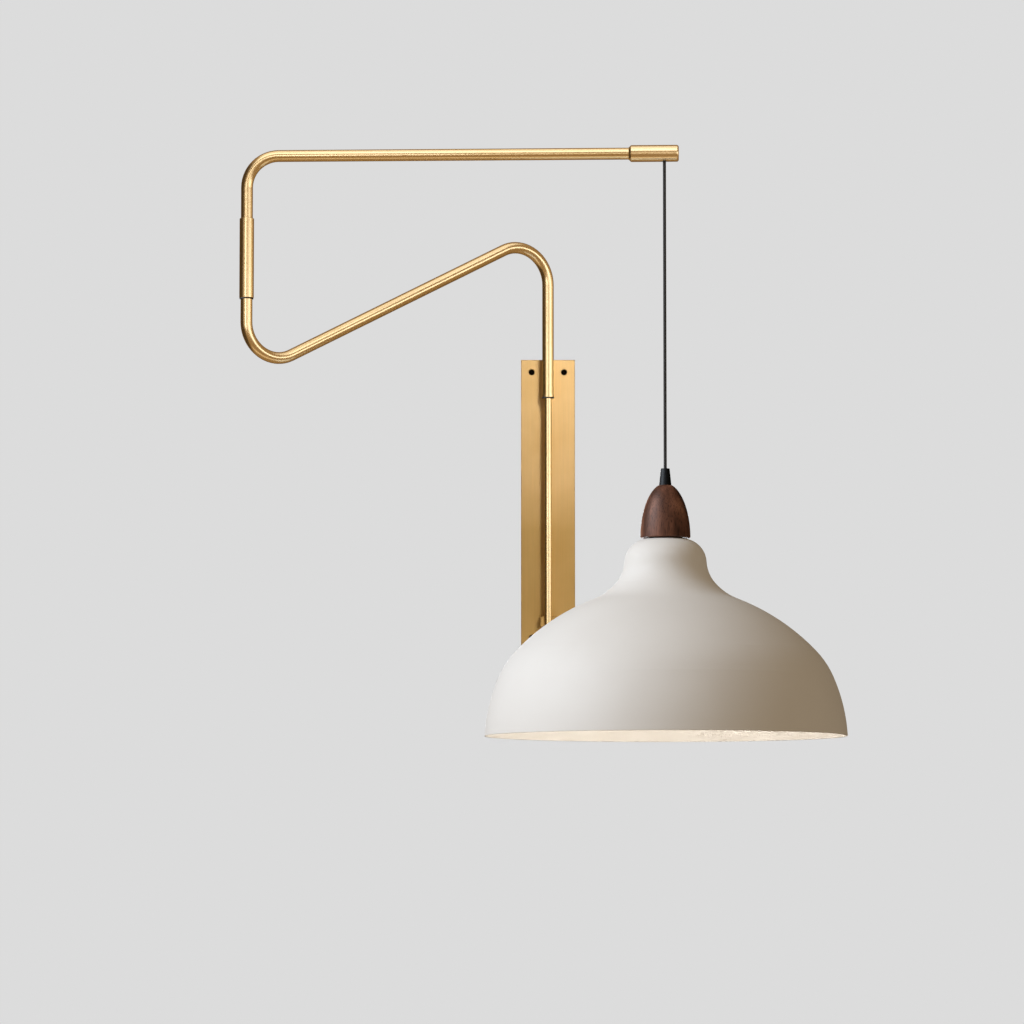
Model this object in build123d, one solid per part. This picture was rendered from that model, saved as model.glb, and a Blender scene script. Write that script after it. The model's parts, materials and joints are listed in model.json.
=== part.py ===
from build123d import *
import os
from math import asin, cos, degrees, radians, sin

# Swing arm wall lamp: a brass plate carries an upright rod, two bent brass arms turn on
# upright joints, and a metal shade hangs from the outer arm on a straight cord.
# Millimetres. X runs along the wall, Y into the wall, Z up. The origin is the centre of
# the plate's rear face, which lies on the wall. The arms stand as they do in use, folded
# back over each other.

# Clearances, each one on the radius or on one side
turning_gap = 0.05
seat_gap = 0.02
screw_gap = 0.1
lead_gap = 0.3

# Wall plate
plate_width = 56.5
plate_height = 305.0
plate_thickness = 3.0
plate_edge = 0.4
mount_pitch_x = 34.0
mount_margin = 13.0
mount_hole_d = 6.0
mount_hole_edge = 0.6

# Upright rod in front of the plate
standoff = 16.0
rod_d = 8.0
rod_bore = 4.4
rod_below_bracket = 8.0
rod_shoulder = 110.7
spigot_d = 7.0
spigot_length = 69.3
groove_depth = 0.5
groove_height = 3.4
groove_rise = 9.3
plug_head = 1.4
plug_length = 4.0

# What holds the rod off the plate
post_d = 7.0
post_height = 98.0
post_screw_d = 4.0
post_screw_length = 10.0
bracket_width = 17.0
bracket_height = 11.0
bracket_above_plate_end = 29.5
bracket_edge = 0.8
bracket_screw_d = 3.0
bracket_screw_length = 11.0
bracket_screw_pitch = 11.0
screw_sink = 0.2
screw_land = 0.3

# Lead
lead_d = 3.2
lead_inlet_drop = 0.5
lead_bend = 4.0
lead_hole_rise = 0.45

# Joint between rod and lower arm
washer_d = 13.0
washer_thickness = 1.0
flange_d = 13.0
flange_height = 2.8
wall_bush_length = 16.0
wall_bush_upper_length = 14.0
wall_bush_upper_drop = 2.0

# Arm tubes
tube_d = 12.0
tube_wall = 1.0
lower_reach = 353.0
lower_corner_at_rod = 289.7
lower_corner_at_elbow = 113.0
rod_bend = 37.0
elbow_bend = 35.0
lower_direction = 210.0
upper_level = 338.0
upper_reach = 422.0
upper_bend = 32.0
upper_direction = -2.5

# Elbow
sleeve_d = 14.6
sleeve_bore = 13.0
sleeve_bottom = 193.5
sleeve_length = 81.0
sleeve_edge = 0.4
tube_in_sleeve = 50.0
elbow_flange_d = 14.0
elbow_flange_height = 1.0
elbow_bush_length = 16.0
elbow_bush_upper_length = 12.0
elbow_bush_upper_drop = 3.5
elbow_washer_d = 12.4
elbow_washer_bore = 8.0
elbow_washer_thickness = 1.0
ring_d = 12.7
ring_groove_depth = 0.4
ring_thickness = 1.0
ring_gap_width = 3.0

# Grub screws
grub_d = 3.0
grub_socket = 1.5
grub_socket_depth = 1.2
grub_tip_d = 2.0

# Barrel at the arm's end
barrel_d = 17.0
barrel_start = 386.0
barrel_length = 50.5
barrel_chamfer = 2.4
barrel_socket = 22.0
barrel_bore = 10.6
barrel_grub_pitch = 8.0
barrel_grub_start = 7.0
cap_thickness = 6.8
cap_round = 2.2
cap_plug_length = 2.5

# Ball seat that the cord hangs in
pivot_rise = 5.0
stop_d = 6.8
cup_wall = 1.15
cup_hole_d = 5.0
seat_hole_d = 6.2

# Cord and cord grip
cord_d = 3.2
cord_length = 315.5
grip_height = 17.0
grip_top_d = 8.8
grip_bottom_d = 12.4
grip_edge = 0.5
grip_socket = 7.0

# Threaded tube through cap, shade and lampholder
nipple_d = 10.0
nipple_bore = 6.5
nipple_in_grip = 6.5
nipple_in_holder = 8.0

# Wooden cap: half an ellipse, cut flat on top
cap_base_d = 50.2
cap_ellipse_height = 55.0
cap_height = 52.8
cap_edge = 0.8
gasket_d = 33.0
gasket_thickness = 0.8

# Shade: radius and depth under its flat top, each arc tangent to the one before
shade_wall = 1.0
shade_flat_d = 34.0
shade_neck_top = (41.1, 22.9)
shade_neck_bottom = (49.7, 44.4)
shade_hollow = (72.7, 60.7)
shade_dome = (150.1, 112.8)
shade_side = (167.0, 138.4)
shade_d = 362.0
shade_height = 197.5
shade_rim_round = 0.35
shade_washer_d = 26.0
shade_washer_thickness = 1.2
nut_across = 14.0
nut_height = 3.5

# Lampholder for a screw-in lamp
holder_d = 39.0
holder_wall = 2.2
holder_boss_d = 15.0
holder_boss_height = 9.0
holder_boss_land = 3.0
holder_skirt = 7.0
holder_edge = 1.0
holder_cap_height = 18.0
holder_body_height = 34.0
holder_bore = 30.4
insert_d = 33.6
insert_height = 9.0
shell_flange_bore = 20.0
shell_wall = 0.4
thread_depth = 0.9
thread_pitch = 3.6
terminal_d = 3.5
terminal_head_d = 6.0
terminal_head_height = 2.0
terminal_length = 6.0
terminal_pitch = 20.0
terminal_slot = 0.8
contact_width = 5.0
contact_length = 16.0
contact_thickness = 0.5
contact_drop = 2.4

# Lamp
lamp_thread_d = 26.4
lamp_shell_gap = 0.3
lamp_turns = 4
lamp_tip_d = 9.5
lamp_tip_height = 1.5
lamp_glass_d = 60.0
lamp_glass_neck = 50.0
lamp_glass_wall = 0.9
lamp_glass_step = 0.6
lamp_collar_height = 5.6
lamp_insulator_height = 3.5
lamp_contact_gap = 0.1

# Heights that follow from the sizes above
mount_pitch_z = plate_height - 2 * mount_margin
bracket_middle = bracket_above_plate_end - plate_height / 2
lead_inlet = bracket_middle - lead_inlet_drop
rod_bottom = bracket_middle - rod_below_bracket
spigot_top = rod_shoulder + spigot_length
washer_top = rod_shoulder + washer_thickness
lower_tube_bottom = washer_top + flange_height
lower_tube_top = sleeve_bottom + tube_in_sleeve
upper_tube_bottom = lower_tube_top + elbow_washer_thickness
sleeve_top = sleeve_bottom + sleeve_length
pivot_level = upper_level - barrel_d / 2 + pivot_rise
grip_top = pivot_level - cord_length
cap_top = grip_top - grip_height
cap_base = cap_top - cap_height
shade_top = cap_base - gasket_thickness
shade_inside = shade_top - shade_wall
nut_top = shade_inside - shade_washer_thickness
holder_top = nut_top - nut_height
body_top = holder_top - holder_cap_height
body_bottom = body_top - holder_body_height
insert_bottom = body_top - insert_height
lamp_top = insert_bottom - contact_drop - lamp_contact_gap
thread_top = lamp_top - lamp_tip_height - lamp_insulator_height
glass_top = thread_top - lamp_turns * thread_pitch - lamp_collar_height

# Diameters that follow from the sizes above
tube_bore = tube_d - 2 * tube_wall
bush_bore = spigot_d + 2 * turning_gap
elbow_bush_bore = tube_d + 2 * turning_gap
elbow_bush_top = lower_tube_top - elbow_bush_upper_drop
ring_bottom = elbow_bush_top + turning_gap
cup_d = stop_d + 2 * (turning_gap + cup_wall)
barrel_right = barrel_start + barrel_length - cap_thickness
tube_end = barrel_start + barrel_socket


def drum(diameter, bottom, top):
    """Cylinder on the Z axis between two heights."""
    middle = (bottom + top) / 2
    return Pos(0, 0, middle) * Cylinder(diameter / 2, top - bottom)


def pipe(outer, bore, bottom, top):
    """Drum with a bore."""
    return drum(outer, bottom, top) - drum(bore, bottom, top)


def bar(diameter, start, end):
    """Cylinder along the X axis between two places."""
    return Pos((start + end) / 2, 0, 0) * Rot(0, 90, 0) * Cylinder(diameter / 2, end - start)


def through(diameter, front, back):
    """Cylinder along the Y axis from a front place to one nearer the wall."""
    return Pos(0, (front + back) / 2, 0) * Rot(90, 0, 0) * Cylinder(diameter / 2, back - front)


def turned(*points):
    """Solid turned on the Z axis from corners given as radius and height."""
    corners = [(radius, 0, height) for radius, height in points]
    return revolve(make_face(Polyline(*corners, close=True)), axis=Axis.Z)


def bent(points, bends, diameter):
    """Round bar along straight runs that arcs of the given radii join."""
    path = FilletPolyline(*points, radius=bends)
    section = Plane(origin=path @ 0, z_dir=path % 0) * Circle(diameter / 2)
    return sweep(section, path=path)


def bent_tube(points, bends, outer, bore):
    """Bent bar with a bore of one diameter all the way."""
    return bent(points, bends, outer) - bent(points, bends, bore)


def grub_screw(outside, inside, tip=0.0):
    """Grub screw along X, its socket at the outside, with a thinner tip inside."""
    socket = Pos(outside - grub_socket_depth, 0, 0) * Rot(0, 90, 0) * extrude(
        RegularPolygon(grub_socket / 2, 6, major_radius=False), grub_socket_depth)
    screw = bar(grub_d, inside, outside) - socket
    if tip:
        screw += bar(grub_tip_d, inside - tip, inside)
    return screw


def countersunk(diameter, length, gap=0.0, rise=0.0):
    """Countersunk screw that points down from the origin, or the space it needs."""
    head = diameter + gap
    shank = diameter / 2 + gap
    return turned((0, rise), (head, rise), (head, -screw_land), (shank, -screw_land - diameter / 2),
                  (shank, -length), (0, -length))


def arcs(knots, tangent):
    """Arcs through the knots, each one tangent to the arc before it."""
    made = []
    for start, end in zip(knots, knots[1:]):
        made.append(TangentArc(start, end, tangent=tangent))
        tangent = made[-1] % 1
    return made


def inset(made, distance):
    """Ends of the same arcs, moved to their right by a distance."""
    ends = [(arc @ 0, arc % 0) for arc in made] + [(made[-1] @ 1, made[-1] % 1)]
    return [point + Vector(way.Z, 0, -way.X) * distance for point, way in ends]


def thread(major, top):
    """Corners of a knuckle thread, down from its upper end."""
    corners = []
    for step in range(2 * lamp_turns + 1):
        depth = thread_depth if step % 2 else 0.0
        corners.append((major - depth, top - step * thread_pitch / 2))
    return corners


# Frames that the turning pieces are drawn in: each has its joint on its Z axis and its
# arm along X
rod_frame = Pos(0, -standoff, 0)
lower_frame = rod_frame * Rot(0, 0, lower_direction)
elbow_x = lower_reach * cos(radians(lower_direction))
elbow_y = -standoff + lower_reach * sin(radians(lower_direction))
upper_frame = Pos(elbow_x, elbow_y, 0) * Rot(0, 0, upper_direction)
cord_x = elbow_x + upper_reach * cos(radians(upper_direction))
cord_y = elbow_y + upper_reach * sin(radians(upper_direction))
pendant_frame = Pos(cord_x, cord_y, 0) * Rot(0, 0, upper_direction)
lower_back = Rot(0, 0, 90 - lower_direction)
upper_back = Rot(0, 0, 90)

bracket_screw_places = [(side * bracket_screw_pitch / 2, bracket_middle) for side in (-1, 1)]
post_screw_place = (0.0, post_height)


def wall_plate():
    plate = Pos(0, -plate_thickness / 2, 0) * Box(plate_width, plate_thickness, plate_height)
    plate = chamfer(plate.faces().sort_by(Axis.Y)[0].edges(), plate_edge)
    for side in (-1, 1):
        for end in (-1, 1):
            place = Pos(side * mount_pitch_x / 2, 0, end * mount_pitch_z / 2)
            plate -= place * through(mount_hole_d, -plate_thickness, 0)
            rim = Cone(mount_hole_d / 2, mount_hole_d / 2 + mount_hole_edge, mount_hole_edge)
            plate -= place * Pos(0, -plate_thickness + mount_hole_edge / 2, 0) * Rot(90, 0, 0) * rim
    for x, z in bracket_screw_places:
        plate -= screw_place(x, z) * countersunk(bracket_screw_d, plate_thickness, screw_gap, screw_sink)
    plate -= screw_place(*post_screw_place) * countersunk(
        post_screw_d, plate_thickness, screw_gap, screw_sink)
    plate -= Pos(0, 0, lead_inlet) * through(rod_bore, -plate_thickness, 0)
    return plate


def pivot_rod():
    rod = drum(rod_d, rod_bottom, rod_shoulder) + drum(spigot_d, rod_shoulder, spigot_top)
    groove = rod_shoulder + groove_rise
    rod -= pipe(spigot_d + 1, spigot_d - 2 * groove_depth, groove - groove_height / 2,
                groove + groove_height / 2)
    rod -= drum(rod_bore, rod_bottom, spigot_top)
    rod -= Pos(0, 0, lead_inlet + lead_hole_rise) * through(rod_bore, 0, rod_d)
    return rod_frame * rod


def rod_end_plug():
    head = fillet(drum(rod_d, rod_bottom - plug_head, rod_bottom).edges().group_by(Axis.Z)[0],
                  plug_head / 2)
    return rod_frame * (head + drum(rod_bore - 2 * seat_gap, rod_bottom, rod_bottom + plug_length))


def rod_saddle():
    """Space that the rod takes out of what holds it."""
    return rod_frame * drum(rod_d + 2 * seat_gap, rod_bottom, rod_shoulder)


def upper_standoff():
    post = Pos(0, 0, post_height) * through(post_d, -standoff, -plate_thickness)
    post -= Pos(0, 0, post_height) * through(
        post_screw_d + 2 * seat_gap, -post_screw_length - screw_sink, -plate_thickness)
    return post - rod_saddle()


def lower_bracket():
    depth = standoff - plate_thickness
    block = Pos(0, -plate_thickness - depth / 2, bracket_middle) * Box(
        bracket_width, depth, bracket_height)
    block = chamfer(block.faces().sort_by(Axis.Y)[0].edges(), bracket_edge)
    for x, z in bracket_screw_places:
        block -= Pos(x, 0, z) * through(bracket_screw_d + 2 * seat_gap,
                                        -bracket_screw_length - screw_sink, -plate_thickness)
    block -= Pos(0, 0, lead_inlet + lead_hole_rise) * through(rod_bore, -standoff, -plate_thickness)
    block -= Pos(0, 0, lead_inlet) * through(rod_bore, -standoff, -plate_thickness)
    return block - rod_saddle()


def screw_place(x, z):
    """Place of a screw that goes in from the plate's rear face."""
    return Pos(x, -screw_sink, z) * Rot(-90, 0, 0)


def socket_screw(diameter, length):
    """Countersunk screw with a hexagon socket."""
    socket = extrude(RegularPolygon(diameter / 3, 6, major_radius=False), -diameter / 3)
    return countersunk(diameter, length) - socket


def standoff_screw():
    return screw_place(*post_screw_place) * socket_screw(post_screw_d, post_screw_length - screw_gap)


def bracket_screws():
    screw = socket_screw(bracket_screw_d, bracket_screw_length - screw_gap)
    return [screw_place(x, z) * screw for x, z in bracket_screw_places]


def thrust_washer():
    return rod_frame * pipe(washer_d, bush_bore, rod_shoulder, washer_top)


def supply_lead():
    route = [(0, 0, lead_inlet), (0, -standoff, lead_inlet), (0, -standoff, spigot_top)]
    return bent(route, [lead_bend], lead_d)


lower_route = [(0, 0, lower_tube_bottom), (0, 0, lower_corner_at_rod),
               (lower_reach, 0, lower_corner_at_elbow), (lower_reach, 0, lower_tube_top)]
lower_bends = [rod_bend, elbow_bend]
upper_route = [(0, 0, upper_tube_bottom), (0, 0, upper_level), (tube_end, 0, upper_level)]
arm_grub = Pos(0, 0, rod_shoulder + groove_rise) * lower_back
arm_grub_hole = arm_grub * bar(grub_d + 2 * seat_gap, 0, tube_d)


def lower_arm_tube():
    tube = bent_tube(lower_route, lower_bends, tube_d, tube_bore) - arm_grub_hole
    tube -= Pos(lower_reach, 0, 0) * pipe(
        tube_d + 1, tube_d - 2 * ring_groove_depth, ring_bottom, ring_bottom + ring_thickness)
    return lower_frame * tube


def wall_joint_lower_bush():
    bush = drum(flange_d, washer_top, lower_tube_bottom)
    bush += drum(tube_bore - 2 * seat_gap, lower_tube_bottom, lower_tube_bottom + wall_bush_length)
    bush -= drum(bush_bore, washer_top, lower_tube_bottom + wall_bush_length)
    return lower_frame * (bush - arm_grub_hole)


def wall_joint_upper_bush():
    top = spigot_top - wall_bush_upper_drop
    return lower_frame * pipe(
        tube_bore - 2 * seat_gap, bush_bore, top - wall_bush_upper_length, top)


def arm_retaining_screw():
    bottom = spigot_d / 2 - groove_depth + 2 * turning_gap
    shank = spigot_d / 2 + lead_gap
    screw = grub_screw(tube_d / 2 - screw_gap, shank, shank - bottom)
    return lower_frame * arm_grub * screw


def elbow_retaining_ring():
    ring = pipe(ring_d, tube_d - 2 * ring_groove_depth + 2 * seat_gap, ring_bottom + seat_gap,
                ring_bottom + ring_thickness - seat_gap)
    ring -= Pos(ring_d / 2, 0, ring_bottom) * Box(ring_d, ring_gap_width, 4 * ring_thickness)
    return lower_frame * Pos(lower_reach, 0, 0) * ring


def elbow_thrust_washer():
    return lower_frame * Pos(lower_reach, 0, 0) * pipe(
        elbow_washer_d, elbow_washer_bore, lower_tube_top, upper_tube_bottom)


def lower_arm_lead():
    route = [(0, 0, spigot_top + lead_gap)] + lower_route[1:]
    return lower_frame * bent(route, lower_bends, lead_d)


def elbow_sleeve():
    sleeve = drum(sleeve_d, sleeve_bottom, sleeve_top)
    ends = sleeve.edges().group_by(Axis.Z)
    sleeve = chamfer(ends[0] + ends[-1], sleeve_edge)
    sleeve -= drum(sleeve_bore, sleeve_bottom, upper_tube_bottom)
    return upper_frame * (sleeve - drum(tube_d + 2 * seat_gap, upper_tube_bottom, sleeve_top))


def elbow_lower_bush():
    top = sleeve_bottom + elbow_bush_length
    bush = drum(elbow_flange_d, sleeve_bottom - elbow_flange_height, sleeve_bottom)
    bush += drum(sleeve_bore - 2 * seat_gap, sleeve_bottom, top)
    return upper_frame * (bush - drum(elbow_bush_bore, sleeve_bottom - elbow_flange_height, top))


def elbow_upper_bush():
    return upper_frame * pipe(sleeve_bore - 2 * seat_gap, elbow_bush_bore,
                              elbow_bush_top - elbow_bush_upper_length, elbow_bush_top)


def upper_arm_tube():
    return upper_frame * bent_tube(upper_route, [upper_bend], tube_d, tube_bore)


def barrel_grub_places():
    first = barrel_start + barrel_grub_start
    return [Pos(place, 0, upper_level) * upper_back for place in (first, first + barrel_grub_pitch)]


def end_fitting():
    outside = barrel_d / 2
    socket = tube_d / 2 + seat_gap
    bore = barrel_bore / 2
    corners = [(barrel_start, socket), (barrel_start, outside - barrel_chamfer),
               (barrel_start + barrel_chamfer, outside), (barrel_right, outside),
               (barrel_right, bore), (tube_end, bore), (tube_end, socket)]
    outline = Polyline(*[(place, 0, radius) for place, radius in corners], close=True)
    barrel = Pos(0, 0, upper_level) * revolve(make_face(outline), axis=Axis.X)
    for place in barrel_grub_places():
        barrel -= place * bar(grub_d + 2 * seat_gap, 0, barrel_d)
    seat = cup_d / 2 + turning_gap
    barrel -= Pos(upper_reach, 0, pivot_level) * Sphere(seat)
    barrel -= Pos(upper_reach, 0, 0) * drum(2 * seat, pivot_level, upper_level)
    barrel -= Pos(upper_reach, 0, 0) * drum(seat_hole_d, upper_level - barrel_d, pivot_level)
    return upper_frame * barrel


def end_cap():
    cap = bar(barrel_d, barrel_right, barrel_right + cap_thickness)
    cap = fillet(cap.edges().group_by(Axis.X)[-1], cap_round)
    cap += bar(barrel_bore - 2 * seat_gap, barrel_right - cap_plug_length, barrel_right)
    return upper_frame * Pos(0, 0, upper_level) * cap


def fitting_set_screws():
    screw = grub_screw(barrel_d / 2 - screw_gap, tube_d / 2 + seat_gap)
    return [upper_frame * place * screw for place in barrel_grub_places()]


def upper_arm_lead():
    lead_end = upper_reach - stop_d / 2 - lead_gap
    route = [(0, 0, lower_tube_top + lead_gap), (0, 0, upper_level), (lead_end, 0, upper_level)]
    return upper_frame * bent(route, [upper_bend], lead_d)


def swivel_cup():
    cup = Sphere(cup_d / 2) - Sphere(stop_d / 2 + turning_gap)
    cup -= Pos(0, 0, cup_d / 2) * Box(2 * cup_d, 2 * cup_d, cup_d)
    return pendant_frame * Pos(0, 0, pivot_level) * (cup - drum(cup_hole_d, -cup_d, 0))


def cord_stop():
    ball = Sphere(stop_d / 2) - drum(cord_d + 2 * seat_gap, -stop_d, 0)
    return pendant_frame * Pos(0, 0, pivot_level) * ball


def pendant_cord():
    return pendant_frame * drum(cord_d, grip_top, pivot_level)


def cord_grip():
    bore = lead_d / 2 + seat_gap
    socket = nipple_d / 2 + seat_gap
    grip = turned((bore, grip_top), (grip_top_d / 2, grip_top), (grip_bottom_d / 2, cap_top),
                  (socket, cap_top), (socket, cap_top + grip_socket), (bore, cap_top + grip_socket))
    rim = grip.edges().group_by(Axis.Z)[-1].sort_by(SortBy.RADIUS)[-1]
    return pendant_frame * fillet(rim, grip_edge)


def wooden_cap():
    bore = nipple_d / 2 + screw_gap
    cut = degrees(asin(cap_height / cap_ellipse_height))
    side = EllipticalCenterArc((0, 0), cap_base_d / 2, cap_ellipse_height, arc_size=cut)
    sides = [Line((bore, 0), side @ 0), side, Line(side @ 1, (bore, cap_height)),
             Line((bore, cap_height), (bore, 0))]
    cap = revolve(Plane.XZ * make_face(sides), axis=Axis.Z)
    rims = cap.edges().filter_by(GeomType.CIRCLE).group_by(Axis.Z)
    cap = chamfer(rims[0].sort_by(SortBy.RADIUS)[-1], cap_edge)
    return pendant_frame * Pos(0, 0, cap_base) * cap


def cap_gasket():
    return pendant_frame * pipe(gasket_d, nipple_d + 2 * screw_gap, shade_top, cap_base)


def threaded_nipple():
    return pendant_frame * pipe(
        nipple_d, nipple_bore, holder_top - nipple_in_holder, cap_top + nipple_in_grip)


def shade():
    outline = [(shade_flat_d / 2, 0), shade_neck_top, shade_neck_bottom, shade_hollow,
               shade_dome, shade_side, (shade_d / 2, shade_height)]
    outside = arcs([Vector(radius, 0, -depth) for radius, depth in outline], Vector(1, 0, 0))
    inside = arcs(inset(outside, shade_wall), Vector(1, 0, 0))
    hole = nipple_d / 2 + screw_gap
    top_line = Line((hole, 0, 0), outside[0] @ 0)
    under_line = Line((hole, 0, -shade_wall), inside[0] @ 0)
    rim_line = Line(outside[-1] @ 1, inside[-1] @ 1)
    hole_line = Line((hole, 0, 0), (hole, 0, -shade_wall))
    wall = make_face([top_line, *outside, rim_line, *inside, under_line, hole_line])
    shell = revolve(wall, axis=Axis.Z)
    rim = [edge for edge in shell.edges().filter_by(GeomType.CIRCLE)
           if edge.radius > shade_d / 2 - shade_wall - 1]
    return pendant_frame * Pos(0, 0, shade_top) * fillet(rim, shade_rim_round)


def shade_washer():
    return pendant_frame * pipe(shade_washer_d, nipple_d + 2 * screw_gap, nut_top, shade_inside)


def lock_nut():
    nut = extrude(RegularPolygon(nut_across / 2, 6, major_radius=False), nut_height)
    nut = Pos(0, 0, holder_top) * nut - drum(nipple_d + 2 * seat_gap, holder_top, nut_top)
    return pendant_frame * nut


def lampholder_cap():
    bore = nipple_d / 2 + seat_gap
    outside = holder_d / 2
    inside = outside - holder_wall
    boss = holder_boss_d / 2
    cap = turned((bore, holder_top), (boss, holder_top), (boss, holder_top - holder_boss_land),
                 (outside, body_top + holder_skirt), (outside, body_top), (inside, body_top),
                 (inside, body_top + holder_skirt - holder_wall),
                 (boss, holder_top - holder_boss_land - holder_wall),
                 (boss, holder_top - holder_boss_height), (bore, holder_top - holder_boss_height))
    return pendant_frame * cap


def lampholder_body():
    body = drum(holder_d, body_bottom, body_top)
    body = chamfer(body.edges().group_by(Axis.Z)[0], holder_edge)
    body -= drum(insert_d + 2 * seat_gap, insert_bottom, body_top)
    return pendant_frame * (body - drum(holder_bore, body_bottom, insert_bottom))


def terminal_places():
    return [Pos(side * terminal_pitch / 2, 0, body_top) for side in (-1, 1)]


def lampholder_insert():
    insert = drum(insert_d, insert_bottom, body_top)
    for place in terminal_places():
        insert -= place * drum(terminal_d + 2 * seat_gap, -terminal_length - seat_gap, 0)
    return pendant_frame * insert


def terminal_screws():
    head = drum(terminal_head_d, 0, terminal_head_height)
    screw = head + drum(terminal_d, -terminal_length, 0)
    slot = Pos(0, 0, terminal_head_height) * Box(terminal_head_d, terminal_slot, terminal_slot * 2)
    return [pendant_frame * place * (screw - slot) for place in terminal_places()]


def screw_shell():
    inner = lamp_thread_d / 2 + lamp_shell_gap
    outer = inner + shell_wall
    flange = insert_bottom - shell_wall
    corners = [(shell_flange_bore / 2, insert_bottom), (outer, insert_bottom)]
    corners += thread(outer, thread_top)
    corners += reversed(thread(inner, thread_top))
    corners += [(inner, flange), (shell_flange_bore / 2, flange)]
    return pendant_frame * turned(*corners)


def centre_contact():
    thick = contact_thickness
    bend = contact_length / 4
    low = -contact_drop
    strip = [(-2 * bend, 0), (-bend, 0), (0, low + thick), (bend, low + thick), (bend, low),
             (0, low), (-bend, -thick), (-2 * bend, -thick)]
    side = make_face(Polyline(*[(x, 0, z) for x, z in strip], close=True))
    leaf = extrude(side, contact_width / 2, both=True)
    return pendant_frame * Pos(0, 0, insert_bottom) * leaf


def lamp_lead():
    return pendant_frame * drum(lead_d, body_top + lead_gap, grip_top)


def bulb_contact():
    tip = drum(lamp_tip_d, lamp_top - lamp_tip_height, lamp_top)
    return pendant_frame * fillet(tip.edges().group_by(Axis.Z)[-1], lamp_tip_height / 2)


def bulb_insulator():
    top = lamp_top - lamp_tip_height
    return pendant_frame * turned((0, top), (lamp_tip_d / 2, top),
                                  (lamp_thread_d / 2 - thread_depth, thread_top), (0, thread_top))


def bulb_cap():
    major = lamp_thread_d / 2
    inside = major - thread_depth - shell_wall
    corners = thread(major, thread_top)
    corners += [(major, glass_top), (inside, glass_top), (inside, thread_top)]
    return pendant_frame * turned(*corners)


def bulb_glass():
    neck = lamp_thread_d / 2 - lamp_glass_step
    full = lamp_glass_d / 2
    middle = Vector((neck + full) / 2, 0, -lamp_glass_neck / 2)
    widest = Vector(full, 0, -lamp_glass_neck)
    outside = arcs([Vector(neck, 0, 0), middle, widest, widest + Vector(-full, 0, -full)],
                   Vector(0, 0, -1))
    inside = arcs(inset(outside, lamp_glass_wall), Vector(0, 0, -1))
    lines = [Line(outside[0] @ 0, inside[0] @ 0), Line(outside[-1] @ 1, inside[-1] @ 1)]
    wall = make_face([*outside, *inside, *lines])
    return pendant_frame * Pos(0, 0, glass_top) * revolve(wall, axis=Axis.Z)


makers = [
    wall_plate, pivot_rod, rod_end_plug, upper_standoff, lower_bracket, standoff_screw,
    bracket_screws, thrust_washer, supply_lead,
    lower_arm_tube, wall_joint_lower_bush, wall_joint_upper_bush, arm_retaining_screw,
    elbow_retaining_ring, elbow_thrust_washer, lower_arm_lead,
    elbow_sleeve, elbow_lower_bush, elbow_upper_bush, upper_arm_tube, end_fitting, end_cap,
    fitting_set_screws, upper_arm_lead,
    swivel_cup,
    cord_stop, pendant_cord, cord_grip, wooden_cap, cap_gasket, threaded_nipple, shade,
    shade_washer, lock_nut, lampholder_cap, lampholder_body, lampholder_insert,
    terminal_screws, screw_shell, centre_contact, lamp_lead, bulb_contact, bulb_insulator,
    bulb_cap, bulb_glass,
]

os.makedirs("parts", exist_ok=True)
for maker in makers:
    made = maker()
    solids = made if isinstance(made, list) else [made]
    piece = Compound(children=[solid for each in solids for solid in each.solids()])
    export_step(piece, f"parts/{maker.__name__}.step")
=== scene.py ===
import json
from math import cos, pi, radians, sin

import bpy
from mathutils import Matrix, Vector


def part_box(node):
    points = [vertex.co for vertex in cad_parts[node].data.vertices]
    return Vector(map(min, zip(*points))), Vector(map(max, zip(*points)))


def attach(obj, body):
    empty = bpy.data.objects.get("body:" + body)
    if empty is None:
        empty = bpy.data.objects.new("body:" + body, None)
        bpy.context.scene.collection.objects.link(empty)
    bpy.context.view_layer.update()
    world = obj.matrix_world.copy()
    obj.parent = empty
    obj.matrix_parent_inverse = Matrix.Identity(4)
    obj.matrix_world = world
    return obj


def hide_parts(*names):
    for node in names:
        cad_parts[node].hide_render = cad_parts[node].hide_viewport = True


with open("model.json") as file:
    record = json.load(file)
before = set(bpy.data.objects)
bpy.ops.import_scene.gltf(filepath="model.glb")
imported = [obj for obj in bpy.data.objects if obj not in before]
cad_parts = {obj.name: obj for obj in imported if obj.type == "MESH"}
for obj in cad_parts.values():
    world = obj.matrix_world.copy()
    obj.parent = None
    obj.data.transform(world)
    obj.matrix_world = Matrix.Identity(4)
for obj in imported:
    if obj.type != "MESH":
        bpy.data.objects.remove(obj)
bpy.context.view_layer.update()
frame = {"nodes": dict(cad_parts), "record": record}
nodes = frame["nodes"]
scene = bpy.context.scene
scene.view_settings.view_transform = "Standard"

# Sizes that the looks share with the solids, in metres and degrees
rod_standoff = 0.016
lower_reach = 0.353
lower_direction = 210
upper_reach = 0.422
upper_direction = -2.5
elbow_x = lower_reach * cos(radians(lower_direction))
elbow_y = -rod_standoff + lower_reach * sin(radians(lower_direction))
cord_x = elbow_x + upper_reach * cos(radians(upper_direction))
cord_y = elbow_y + upper_reach * sin(radians(upper_direction))
cord_d = 0.0032
cord_length = 0.3155
cord_top = 0.3345
rim_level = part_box("shade")[0].z

# Camera at the photograph's place: straight at the wall, from a little below
camera_lens = 161.0156
camera_place = (-0.03770, -4.78267, -0.39902)
camera_tilt = 4.6808
camera = bpy.data.objects.new("camera", bpy.data.cameras.new("camera"))
scene.collection.objects.link(camera)
camera.data.lens = camera_lens
camera.data.sensor_width = 36.0
camera.data.clip_end = 50.0
camera.location = camera_place
camera.rotation_euler = (radians(90 + camera_tilt), 0.0, 0.0)
scene.camera = camera


def place(name, data):
    """New object in the scene."""
    made = bpy.data.objects.new(name, data)
    scene.collection.objects.link(made)
    return made


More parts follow.
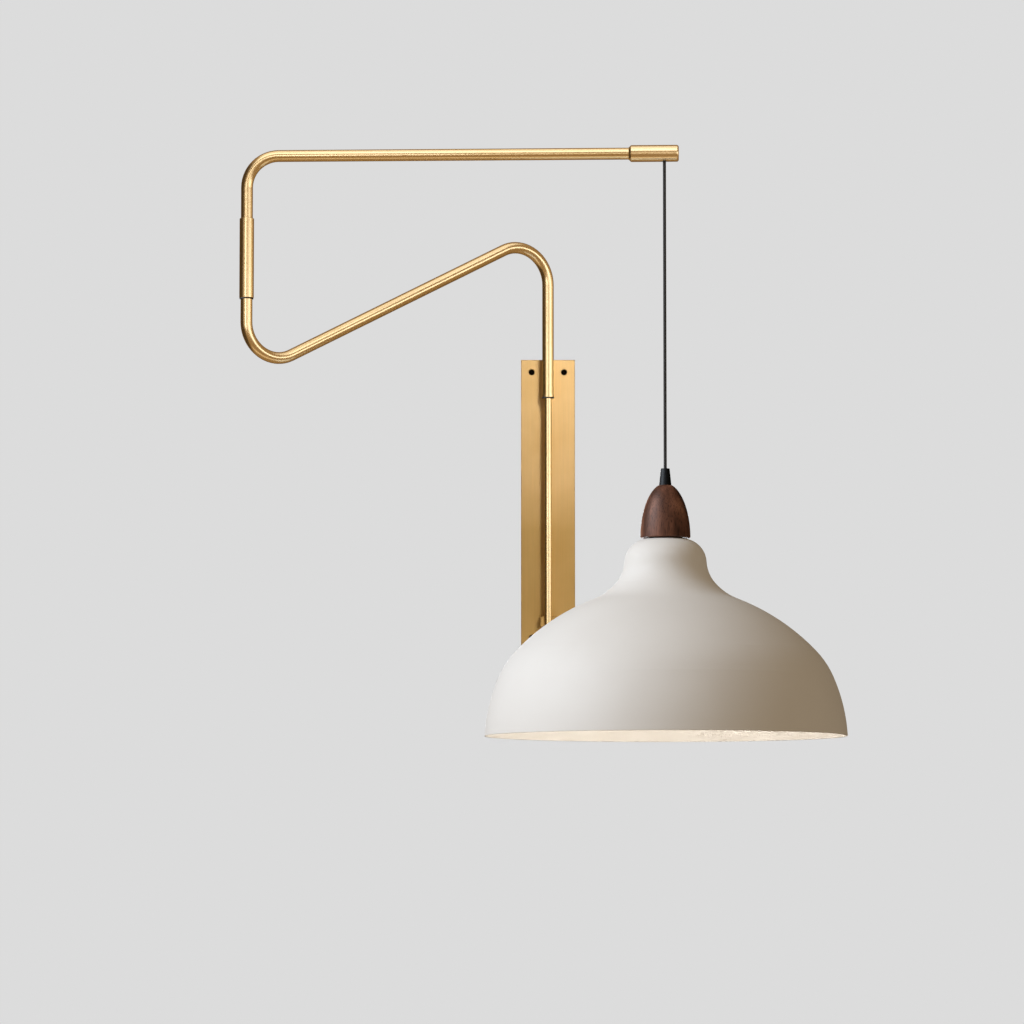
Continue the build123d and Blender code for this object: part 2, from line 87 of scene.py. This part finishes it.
def smooth_line(points, thickness=0.0):
    """Mesh of a smooth line through the space of its control points, or of a round tube along it."""
    data = bpy.data.curves.new("route", "CURVE")
    data.dimensions = "3D"
    data.resolution_u = 12
    data.bevel_depth = thickness / 2
    data.bevel_resolution = 6
    data.use_fill_caps = True
    line = data.splines.new("NURBS")
    line.points.add(len(points) - 1)
    for target, point in zip(line.points, points):
        target.co = (*point, 1.0)
    line.order_u = 3
    line.use_endpoint_u = True
    drawn = place("route", data)
    shown = drawn.evaluated_get(bpy.context.evaluated_depsgraph_get())
    mesh = bpy.data.meshes.new_from_object(shown)
    bpy.data.objects.remove(drawn)
    return mesh


# The cord hangs straight: its points are at these depths under the ball seat
cord_start = Vector((cord_x, cord_y, cord_top))
cord_depths = (0.0, 0.015, 0.1, 0.2, 0.3, cord_length)
cord_points = [(0.0, 0.0, -depth) for depth in cord_depths]
cord = place("textile_cord", smooth_line(cord_points, cord_d))
cord.data.shade_smooth()
cord.location = cord_start
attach(cord, "pendant")
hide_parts("pendant_cord")
[cord_start + vertex.co for vertex in smooth_line(cord_points).vertices]


# Materials: each starts from these helpers, and lengths in them are metres
def add(mat, kind, values=None, **settings):
    """Node with its inputs and settings."""
    node = mat.node_tree.nodes.new(kind)
    for key, value in settings.items():
        setattr(node, key, value)
    for key, value in (values or {}).items():
        node.inputs[key].default_value = value
    return node


def join(mat, source, target):
    """Link from one node's output to another's input."""
    mat.node_tree.links.new(source, target)


def new_material(name, **values):
    """Principled material and its shader, with constant values on the shader."""
    mat = bpy.data.materials.new(name)
    mat.use_nodes = True
    shader = mat.node_tree.nodes["Principled BSDF"]
    for key, value in values.items():
        shader.inputs[key.replace("_", " ")].default_value = value
    return mat, shader


def noise(mat, scale, stretch=(1, 1, 1), detail=3.0, turn=(0, 0, 0)):
    """Noise in the object's own space, with spots of about one over scale."""
    where = add(mat, "ShaderNodeTexCoord")
    squeeze = add(mat, "ShaderNodeMapping", {"Scale": stretch, "Rotation": turn})
    spots = add(mat, "ShaderNodeTexNoise", {"Scale": scale, "Detail": detail})
    join(mat, where.outputs["Object"], squeeze.inputs["Vector"])
    join(mat, squeeze.outputs["Vector"], spots.inputs["Vector"])
    return spots.outputs[0]


def ramp(mat, factor, *stops):
    """Colours or greys along a factor."""
    node = add(mat, "ShaderNodeValToRGB")
    join(mat, factor, node.inputs["Fac"])
    elements = node.color_ramp.elements
    while len(elements) < len(stops):
        elements.new(0.5)
    for element, (position, colour) in zip(elements, stops):
        element.position = position
        element.color = (*colour, 1.0)
    return node.outputs["Color"]


def grey(value):
    """Colour with no hue."""
    return (value, value, value)


def mix(mat, factor, first, second, blend="MIX"):
    """Two colours mixed. A factor may be a number or a socket."""
    node = add(mat, "ShaderNodeMix", data_type="RGBA", blend_type=blend)
    for source, target in ((factor, node.inputs[0]), (first, node.inputs[6]), (second, node.inputs[7])):
        if isinstance(source, bpy.types.NodeSocket):
            join(mat, source, target)
        else:
            target.default_value = source
    return node.outputs[2]


def bump(mat, shader, height, distance, strength=1.0):
    """Fine relief, with a distance in metres."""
    node = add(mat, "ShaderNodeBump", {"Distance": distance, "Strength": strength})
    join(mat, height, node.inputs["Height"])
    join(mat, node.outputs["Normal"], shader.inputs["Normal"])


def brass(name, stretch, dark, light, rough, relief, lower_shade_tint=None):
    """Satin brass with fine brushing and a slow change of colour. Its lower end may be darkened with painted
    shade, which stands in for the lampshade's dark reflection.
    """
    mat, shader = new_material(name, Metallic=1.0)
    brushing = noise(mat, 2600.0, stretch, 3.0)
    patches = noise(mat, 22.0, detail=4.0)
    colour = ramp(mat, patches, (0.3, dark), (0.7, light))
    if lower_shade_tint:
        # Painted shade and reflection: the colour is darkened towards the plate's lower end, standing in for
        # the lampshade reflected in it.
        where = add(mat, "ShaderNodeTexCoord")
        parts = add(mat, "ShaderNodeSeparateXYZ")
        join(mat, where.outputs["Object"], parts.inputs[0])
        lower_shade_full_at = -0.028
        lower_shade_none_at = 0.018
        height = add(mat, "ShaderNodeMapRange", {"From Min": lower_shade_full_at, "From Max": lower_shade_none_at})
        join(mat, parts.outputs["Z"], height.inputs["Value"])
        painted_lower_shade = ramp(mat, height.outputs["Result"], (0.0, lower_shade_tint), (1.0, grey(1.0)))
        colour = mix(mat, 1.0, colour, painted_lower_shade, "MULTIPLY")
    lines = ramp(mat, brushing, (0.35, grey(0.95)), (0.65, grey(1.0)))
    join(mat, mix(mat, 1.0, colour, lines, "MULTIPLY"), shader.inputs["Base Color"])
    join(mat, ramp(mat, brushing, (0.3, grey(rough)), (0.7, grey(rough + 0.06))), shader.inputs["Roughness"])
    bump(mat, shader, brushing, relief)
    return mat


def plain(name, colour, rough, scale, relief, metallic=0.0):
    """Moulded or drawn surface: faint mottling, uneven gloss and a fine relief."""
    mat, shader = new_material(name, Metallic=metallic)
    spots = noise(mat, scale, detail=4.0)
    cloud = noise(mat, 60.0)
    darker = [part * 0.82 for part in colour]
    join(mat, ramp(mat, cloud, (0.3, darker), (0.7, colour)), shader.inputs["Base Color"])
    gloss = ramp(mat, spots, (0.3, grey(rough - 0.06)), (0.7, grey(rough + 0.06)))
    join(mat, gloss, shader.inputs["Roughness"])
    bump(mat, shader, spots, relief)
    return mat


def painted_shade():
    """Off-white paint outside and cream paint inside, told apart by which way a face looks."""
    mat, shader = new_material("shade_paint")
    where = add(mat, "ShaderNodeTexCoord")
    out = add(mat, "ShaderNodeVectorMath", operation="SUBTRACT")
    join(mat, where.outputs["Object"], out.inputs[0])
    out.inputs[1].default_value = (cord_x, cord_y, rim_level + 0.01)
    facing = add(mat, "ShaderNodeVectorMath", operation="DOT_PRODUCT")
    join(mat, out.outputs[0], facing.inputs[0])
    join(mat, where.outputs["Normal"], facing.inputs[1])
    side = add(mat, "ShaderNodeMath", {1: 0.0}, operation="GREATER_THAN")
    join(mat, facing.outputs["Value"], side.inputs[0])
    cloud = noise(mat, 9.0, detail=5.0)
    outside = ramp(mat, cloud, (0.3, (0.80, 0.775, 0.74)), (0.7, (0.84, 0.82, 0.79)))
    inside = ramp(mat, cloud, (0.3, (0.91, 0.88, 0.83)), (0.7, (0.94, 0.92, 0.88)))
    join(mat, mix(mat, side.outputs[0], inside, outside), shader.inputs["Base Color"])
    rings = noise(mat, 800.0, (0.03, 0.03, 1.0))
    skin = mix(mat, 0.5, noise(mat, 1100.0, detail=2.0), rings)
    join(mat, ramp(mat, skin, (0.3, grey(0.58)), (0.7, grey(0.68))), shader.inputs["Roughness"])
    bump(mat, shader, skin, 0.000015)
    return mat


def walnut():
    """Turned walnut: grain and pores that run up the cap, under an oil finish. The grain is laid so that
    lighter wood falls on the cap's left and darker wood on its right, which paints light and shade into it.
    """
    mat, shader = new_material("walnut", Specular_IOR_Level=0.35)
    # Grain noise, turned so that its light figure falls on the lit left and its dark figure on the shaded
    # right: real grain with painted light and shade in it.
    grain_with_painted_side_light = noise(mat, 70.0, (1, 1, 0.16), 6.0, turn=(0.12, 0.08, 0))
    colour = ramp(mat, grain_with_painted_side_light, (0.3, (0.036, 0.015, 0.010)), (0.5, (0.17, 0.068, 0.040)),
                  (0.7, (0.38, 0.170, 0.105)))
    pores = noise(mat, 1600.0, (1, 1, 0.04), 2.0)
    open_pores = ramp(mat, pores, (0.36, grey(0.35)), (0.46, grey(1.0)))
    join(mat, mix(mat, 1.0, colour, open_pores, "MULTIPLY"), shader.inputs["Base Color"])
    join(mat, ramp(mat, grain_with_painted_side_light, (0.3, grey(0.46)), (0.7, grey(0.56))), shader.inputs["Roughness"])
    bump(mat, shader, pores, 0.00004)
    return mat


def braided_cloth():
    """Round braid: two sets of threads that wind round the cord in opposite ways."""
    mat, shader = new_material("braided_cloth", Roughness=0.85, Sheen_Weight=0.4)
    braid_pitch = 0.0022
    braid_starts = 8.0
    where = add(mat, "ShaderNodeTexCoord")
    parts = add(mat, "ShaderNodeSeparateXYZ")
    join(mat, where.outputs["Object"], parts.inputs[0])
    angle = add(mat, "ShaderNodeMath", operation="ARCTAN2")
    join(mat, parts.outputs["Y"], angle.inputs[0])
    join(mat, parts.outputs["X"], angle.inputs[1])
    waves = []
    for way in (-1, 1):
        climb = add(mat, "ShaderNodeMath", {1: way * 2 * pi / braid_pitch}, operation="MULTIPLY")
        join(mat, parts.outputs["Z"], climb.inputs[0])
        turn = add(mat, "ShaderNodeMath", {1: braid_starts}, operation="MULTIPLY_ADD")
        join(mat, angle.outputs[0], turn.inputs[0])
        join(mat, climb.outputs[0], turn.inputs[2])
        wave = add(mat, "ShaderNodeMath", operation="SINE")
        join(mat, turn.outputs[0], wave.inputs[0])
        waves.append(wave.outputs[0])
    weave = add(mat, "ShaderNodeMath", operation="MULTIPLY")
    join(mat, waves[0], weave.inputs[0])
    join(mat, waves[1], weave.inputs[1])
    height = add(mat, "ShaderNodeMath", {1: 0.5, 2: 0.5}, operation="MULTIPLY_ADD")
    join(mat, weave.outputs[0], height.inputs[0])
    fibres = noise(mat, 6000.0, detail=2.0)
    # Darker where the braid is low, between the threads: painted shade in the gaps.
    threads_and_gap_shade = ramp(mat, height.outputs[0], (0.2, grey(0.016)), (0.8, grey(0.062)))
    fuzz = ramp(mat, fibres, (0.3, grey(0.7)), (0.7, grey(1.0)))
    join(mat, mix(mat, 1.0, threads_and_gap_shade, fuzz, "MULTIPLY"), shader.inputs["Base Color"])
    bump(mat, shader, height.outputs[0], 0.0002)
    return mat


def lamp_glass():
    """Opal glass, lit from inside, with a slight ripple."""
    mat, shader = new_material("lamp_glass", Emission_Color=(1.0, 0.97, 0.94, 1.0), Emission_Strength=12.5)
    ripple = noise(mat, 40.0, detail=2.0)
    join(mat, ramp(mat, ripple, (0.3, (0.86, 0.85, 0.82)), (0.7, (0.91, 0.90, 0.87))),
         shader.inputs["Base Color"])
    join(mat, ramp(mat, ripple, (0.3, grey(0.10)), (0.7, grey(0.18))), shader.inputs["Roughness"])
    bump(mat, shader, ripple, 0.0001, 0.3)
    return mat


def glowing_stage():
    """Pale even ground and backdrop."""
    mat = bpy.data.materials.new("stage_paper")
    mat.use_nodes = True
    mat.node_tree.nodes.clear()
    light = add(mat, "ShaderNodeEmission", {"Color": (0.716, 0.716, 0.716, 1.0), "Strength": 1.0})
    out = add(mat, "ShaderNodeOutputMaterial")
    join(mat, light.outputs[0], out.inputs["Surface"])
    return mat


tube_brass = brass("tube_brass", (1, 1, 1), (0.82, 0.64, 0.36), (0.90, 0.72, 0.44), 0.22, 0.00000002)
# The plate's colour darkens towards its lower end: painted shade and reflection, not ageing.
plate_brass = brass("plate_brass", (0.35, 1, 0.006), (0.86, 0.57, 0.25), (0.93, 0.64, 0.31), 0.44, 0.0000005,
                    lower_shade_tint=(0.80, 0.76, 0.60))
looks = {
    "brass": tube_brass,
    "steel": plain("steel", (0.52, 0.52, 0.53), 0.32, 1500.0, 0.00001, metallic=1.0),
    "black_plastic": plain("black_plastic", (0.010, 0.011, 0.013), 0.55, 1200.0, 0.00003),
    "lead_sheath": plain("lead_sheath", (0.09, 0.08, 0.075), 0.5, 1500.0, 0.00002),
    "cord_cloth": braided_cloth(),
    "walnut": walnut(),
    "black_rubber": plain("black_rubber", (0.012, 0.012, 0.012), 0.7, 2000.0, 0.00003),
    "shade_paint": painted_shade(),
    "white_plastic": plain("white_plastic", (0.78, 0.76, 0.71), 0.2, 800.0, 0.00002),
    "contact_brass": plain("contact_brass", (0.74, 0.55, 0.28), 0.3, 1500.0, 0.00001, metallic=1.0),
    "lamp_cap": plain("lamp_cap", (0.66, 0.66, 0.67), 0.3, 1500.0, 0.00001, metallic=1.0),
    "lamp_glass": lamp_glass(),
}


def wear(made, mat):
    """Give a piece one material."""
    made.data.materials.clear()
    made.data.materials.append(mat)


slots = {row["node"]: row["material_slot"] for row in frame["record"]["subparts"]}
for name, node in nodes.items():
    wear(node, looks[slots[name]])
for name in ("wall_plate", "lower_bracket"):
    wear(nodes[name], plate_brass)
wear(cord, looks["cord_cloth"])

# Floor, wall and ceiling all round, in one surface turned about the upright axis
floor_level = -3.4
ceiling_level = 8.0
stage_radius = 9.0
axis_gap = 0.05
sweep = 1.5
profile = [(axis_gap, floor_level)]
profile += [(stage_radius + sweep * (sin(radians(turn)) - 1), floor_level + sweep * (1 - cos(radians(turn))))
            for turn in range(0, 91, 10)]
profile += [(stage_radius, ceiling_level), (axis_gap, ceiling_level)]
around_steps = 64
corners = [(radius * cos(2 * pi * step / around_steps), radius * sin(2 * pi * step / around_steps), height)
           for radius, height in profile for step in range(around_steps)]
faces = [(row * around_steps + step, row * around_steps + (step + 1) % around_steps,
          (row + 1) * around_steps + (step + 1) % around_steps, (row + 1) * around_steps + step)
         for row in range(len(profile) - 1) for step in range(around_steps)]
stage_mesh = bpy.data.meshes.new("stage")
stage_mesh.from_pydata(corners, [], faces)
stage = place("stage", stage_mesh)
wear(stage, glowing_stage())
stage.visible_diffuse = False
stage.visible_glossy = False
stage.visible_shadow = False

# The wall shows only through the plate's four holes, as shadowed spots just behind them
hole_x = 0.017
hole_z = 0.1395
spot_depth = 0.0005
spot_radius = 0.0036
spot_sides = 24
spot_centres = [(x, z) for x in (-hole_x, hole_x) for z in (-hole_z, hole_z)]
spot_mesh = bpy.data.meshes.new("wall_spots")
spot_corners = [(x + spot_radius * cos(2 * pi * step / spot_sides), spot_depth,
                 z + spot_radius * sin(2 * pi * step / spot_sides))
                for x, z in spot_centres for step in range(spot_sides)]
spot_faces = [tuple(range(first, first + spot_sides))
              for first in range(0, len(spot_corners), spot_sides)]
spot_mesh.from_pydata(spot_corners, [], spot_faces)
spots = place("wall_spots", spot_mesh)
wear(spots, plain("shadowed_wall", (0.010, 0.008, 0.006), 0.9, 900.0, 0.00005))


# Soft boxes, all aimed at the middle of the lamp
middle = Vector((0.0, -0.15, 0.04))


def softbox(name, azimuth, elevation, distance, size, brightness, colour, receivers):
    """Rectangle that lights only its receivers. Azimuth 0 is the camera's side and grows to the right."""
    data = bpy.data.lights.new(name, "AREA")
    data.shape = "RECTANGLE"
    data.size, data.size_y = size
    data.energy = brightness * pi * size[0] * size[1]
    data.color = colour
    made = place(name, data)
    turn, rise = radians(azimuth), radians(elevation)
    out = Vector((sin(turn) * cos(rise), -cos(turn) * cos(rise), sin(rise)))
    made.location = middle + out * distance
    made.rotation_euler = (-out).to_track_quat("-Z", "Y").to_euler()
    made.visible_camera = False
    made.light_linking.receiver_collection = receivers


def group(name, members):
    """Collection that a light can be limited to."""
    made = bpy.data.collections.new(name)
    for member in members:
        made.objects.link(member)
    return made


plate_pieces = [nodes["wall_plate"], nodes["lower_bracket"]]
tube_pieces = [node for name, node in nodes.items() if slots[name] == "brass" and node not in plate_pieces]
others = [node for node in nodes.values() if node not in plate_pieces + tube_pieces]
plate_only = group("plate_only", plate_pieces)
tubes_only = group("tubes_only", tube_pieces)
pendant_only = group("pendant_only", [cord] + others)

white = (0.94, 0.97, 1.0)
cream = (1.0, 0.88, 0.70)
amber = (1.0, 0.64, 0.30)
box_distance = 2.8
box_height = 0.8
box_elevation = 6
room_distance = 2.9
softbox("key_light", -66, 26, 2.6, (1.7, 1.7), 8.2, (0.80, 0.885, 0.99), pendant_only)
softbox("back_light", 180, 0, box_distance, (0.8, 0.8), 20.0, (0.95, 0.97, 1.0), pendant_only)
softbox("plate_light", 21, 24, 0.8, (0.24, 0.24), 17.6, (0.99, 0.955, 0.87), plate_only)
softbox("plate_fill", -20, 5, box_distance, (3.0, 3.0), 0.08, amber, plate_only)

# Dim boxes that keep the plate's other sides from going dark
for azimuth, elevation in ((-75, 0), (75, 0), (180, 0), (0, -65), (0, 75)):
    softbox(f"plate_side_{azimuth}_{elevation}", azimuth, elevation, box_distance, (3.4, 3.4), 0.34,
            cream, plate_only)

# Six sides of a dim amber room that the tubes reflect
for azimuth, elevation, brightness in ((0, 0, 0.34), (90, 0, 0.34), (180, 0, 0.20), (-90, 0, 0.07),
                                       (0, 90, 0.34), (0, -90, 0.34)):
    softbox(f"room_{azimuth}_{elevation}", azimuth, elevation, room_distance,
            (2 * room_distance, 2 * room_distance), brightness, amber, tubes_only)

# Bright boxes round the tubes: azimuth, elevation, width, height, brightness and colour
for azimuth, elevation, width, height, brightness, colour in (
        (-50, box_elevation, 1.0, box_height, 0.45, cream),
        (-20, box_elevation, 1.1, box_height, 2.8, white),
        (0, box_elevation, 0.5, box_height, 0.5, cream),
        (24, box_elevation, 1.7, box_height, 1.3, white),
        (56, box_elevation, 1.6, box_height, 2.2, white),
        (88, box_elevation, 1.6, box_height, 0.9, cream),
        (0, 50, 3.6, 1.6, 1.7, white), (0, 85, 3.6, 1.6, 1.0, white), (0, -64, 3.6, 0.9, 0.6, cream)):
    softbox(f"tubes_{azimuth}_{elevation}", azimuth, elevation, box_distance, (width, height), brightness,
            colour, tubes_only)

world = bpy.data.worlds.new("room")
scene.world = world
world.use_nodes = True
world.node_tree.nodes["Background"].inputs["Color"].default_value = (0.33, 0.26, 0.18, 1.0)
world.node_tree.nodes["Background"].inputs["Strength"].default_value = 1.0
world.cycles_visibility.glossy = False
